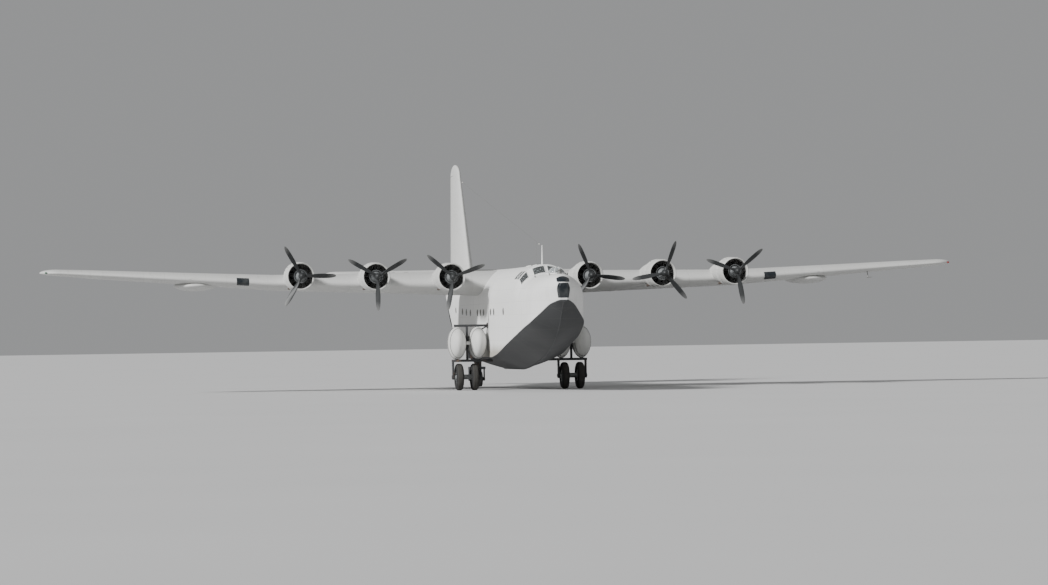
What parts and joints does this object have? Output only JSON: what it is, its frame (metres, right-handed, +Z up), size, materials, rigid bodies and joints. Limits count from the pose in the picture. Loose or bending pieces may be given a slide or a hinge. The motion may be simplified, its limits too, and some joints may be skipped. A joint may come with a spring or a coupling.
{
  "type": "half-scale model of a six-engined flying boat on beaching gear",
  "caption": "Flying boat, half scale, with a high one-piece wing, radial engines on its leading edge, a stepped deep hull and wheeled beaching gear with buoyancy tanks.",
  "frame": {"origin": "on the ground under the middle of the length, on the centre line", "axes": "+X to the port wing tip, +Y from bow to tail, +Z up"},
  "size_m": [23, 18.5, 5.95],
  "materials": {
    "topside_paint": "matt weathered paint",
    "bottom_paint": "dull dark grey bottom paint",
    "wing_paint": "matt weathered paint",
    "cowl_paint": "satin paint with oil stains",
    "engine_metal": "dark heat-stained metal",
    "blade_paint": "satin dark paint",
    "gear_paint": "dark chipped paint",
    "tank_paint": "matt pale paint, stained",
    "wheel_paint": "satin grey paint",
    "tyre_rubber": "matt rubber",
    "cabin_paint": "matt interior paint",
    "glazing": "clear glazing"
  },
  "bodies": {
    "airframe": {"hull_bow": "topside_paint", "hull_centre": "topside_paint", "hull_aft": "topside_paint", "hull_tail": "topside_paint", "planing_bottom_fore": "bottom_paint", "planing_bottom_aft": "bottom_paint", "cockpit_glass": "glazing", "stem_window_glass": "glazing", "observation_dome": "glazing", "cockpit_interior": "cabin_paint", "aerial_mast": "wing_paint", "wing_centre": "wing_paint", "fin": "wing_paint", "wing_outer_port": "wing_paint", "wing_outer_starboard": "wing_paint", "float_port": "wing_paint", "float_starboard": "wing_paint", "tailplane_port": "wing_paint", "tailplane_starboard": "wing_paint", "nacelle_1": "cowl_paint", "engine_1": "engine_metal", "nacelle_2": "cowl_paint", "engine_2": "engine_metal", "nacelle_3": "cowl_paint", "engine_3": "engine_metal", "nacelle_4": "cowl_paint", "engine_4": "engine_metal", "nacelle_5": "cowl_paint", "engine_5": "engine_metal", "nacelle_6": "cowl_paint", "engine_6": "engine_metal", "mooring_bitt": "gear_paint", "tail_saddle": "gear_paint", "gear_frame_port": "gear_paint", "tanks_port": "tank_paint", "gear_frame_starboard": "gear_paint", "tanks_starboard": "tank_paint"},
    "propeller_1": {"propeller_1": "blade_paint"},
    "propeller_2": {"propeller_2": "blade_paint"},
    "propeller_3": {"propeller_3": "blade_paint"},
    "propeller_4": {"propeller_4": "blade_paint"},
    "propeller_5": {"propeller_5": "blade_paint"},
    "propeller_6": {"propeller_6": "blade_paint"},
    "flap_port": {"flap_port": "wing_paint"},
    "flap_starboard": {"flap_starboard": "wing_paint"},
    "aileron_port": {"aileron_port": "wing_paint"},
    "aileron_starboard": {"aileron_starboard": "wing_paint"},
    "elevator_port": {"elevator_port": "wing_paint"},
    "elevator_starboard": {"elevator_starboard": "wing_paint"},
    "rudder": {"rudder": "wing_paint"},
    "entry_door": {"entry_door": "topside_paint"},
    "wheels_port": {"wheels_port_hub": "wheel_paint", "wheels_port_tyre_1": "tyre_rubber", "wheels_port_tyre_2": "tyre_rubber"},
    "wheels_starboard": {"wheels_starboard_hub": "wheel_paint", "wheels_starboard_tyre_1": "tyre_rubber", "wheels_starboard_tyre_2": "tyre_rubber"},
    "tail_fork": {"tail_fork": "gear_paint"},
    "wheels_tail": {"wheels_tail": "tyre_rubber"}
  },
  "joints": [
    {"name": "propeller_1_spin", "type": "hinge", "parent": "airframe", "child": "propeller_1", "pos_m": [-5.35, -3.3, 2.81724], "axis": [0, 1, 0], "continuous": true},
    {"name": "propeller_2_spin", "type": "hinge", "parent": "airframe", "child": "propeller_2", "pos_m": [-3.525, -3.375, 2.78578], "axis": [0, 1, 0], "continuous": true},
    {"name": "propeller_3_spin", "type": "hinge", "parent": "airframe", "child": "propeller_3", "pos_m": [-1.7, -3.45, 2.75431], "axis": [0, 1, 0], "continuous": true},
    {"name": "propeller_4_spin", "type": "hinge", "parent": "airframe", "child": "propeller_4", "pos_m": [1.7, -3.45, 2.75431], "axis": [0, 1, 0], "continuous": true},
    {"name": "propeller_5_spin", "type": "hinge", "parent": "airframe", "child": "propeller_5", "pos_m": [3.525, -3.375, 2.78578], "axis": [0, 1, 0], "continuous": true},
    {"name": "propeller_6_spin", "type": "hinge", "parent": "airframe", "child": "propeller_6", "pos_m": [5.35, -3.3, 2.81724], "axis": [0, 1, 0], "continuous": true},
    {"name": "flap_port_hinge", "type": "hinge", "parent": "airframe", "child": "flap_port", "pos_m": [0.875, 0.875, 2.6235], "axis": [0.9977, -0.0658, 0.0153], "range_deg": [-40, 0]},
    {"name": "flap_starboard_hinge", "type": "hinge", "parent": "airframe", "child": "flap_starboard", "pos_m": [-0.875, 0.875, 2.6235], "axis": [0.9977, 0.0658, -0.0153], "range_deg": [-40, 0]},
    {"name": "aileron_port_hinge", "type": "hinge", "parent": "airframe", "child": "aileron_port", "pos_m": [6, 0.56, 2.71042], "axis": [0.9961, -0.0657, 0.059], "range_deg": [-20, 20]},
    {"name": "aileron_starboard_hinge", "type": "hinge", "parent": "airframe", "child": "aileron_starboard", "pos_m": [-6, 0.56, 2.71042], "axis": [0.9961, 0.0657, -0.059], "range_deg": [-20, 20]},
    {"name": "elevator_port_hinge", "type": "hinge", "parent": "airframe", "child": "elevator_port", "pos_m": [0.5, 7.2, 2.98182], "axis": [0.9999, 0, 0.0152], "range_deg": [-25, 25]},
    {"name": "elevator_starboard_hinge", "type": "hinge", "parent": "airframe", "child": "elevator_starboard", "pos_m": [-0.5, 7.2, 2.98182], "axis": [0.9999, 0, -0.0152], "range_deg": [-25, 25]},
    {"name": "rudder_hinge", "type": "hinge", "parent": "airframe", "child": "rudder", "pos_m": [0, 7.7, 3.15], "axis": [0, 0, 1], "range_deg": [-25, 25]},
    {"name": "entry_door_hinge", "type": "hinge", "parent": "airframe", "child": "entry_door", "pos_m": [0.79, -4.655, 1.7], "axis": [0, 0, 1], "range_deg": [-100, 0]},
    {"name": "wheels_port_spin", "type": "hinge", "parent": "airframe", "child": "wheels_port", "pos_m": [1.3, -2.75, 0.325], "axis": [1, 0, 0], "continuous": true},
    {"name": "wheels_starboard_spin", "type": "hinge", "parent": "airframe", "child": "wheels_starboard", "pos_m": [-1.3, -2.75, 0.325], "axis": [1, 0, 0], "continuous": true},
    {"name": "tail_fork_swivel", "type": "hinge", "parent": "airframe", "child": "tail_fork", "pos_m": [0, 4.25, 0.6], "axis": [0, 0, 1], "range_deg": [-90, 90]},
    {"name": "wheels_tail_spin", "type": "hinge", "parent": "tail_fork", "child": "wheels_tail", "pos_m": [0, 4.35, 0.2], "axis": [1, 0, 0], "continuous": true}
  ],
  "couplings": [
    {"joint": "flap_starboard_hinge", "follows": "flap_port_hinge", "ratio": 1},
    {"joint": "aileron_starboard_hinge", "follows": "aileron_port_hinge", "ratio": -1},
    {"joint": "elevator_starboard_hinge", "follows": "elevator_port_hinge", "ratio": 1}
  ]
}
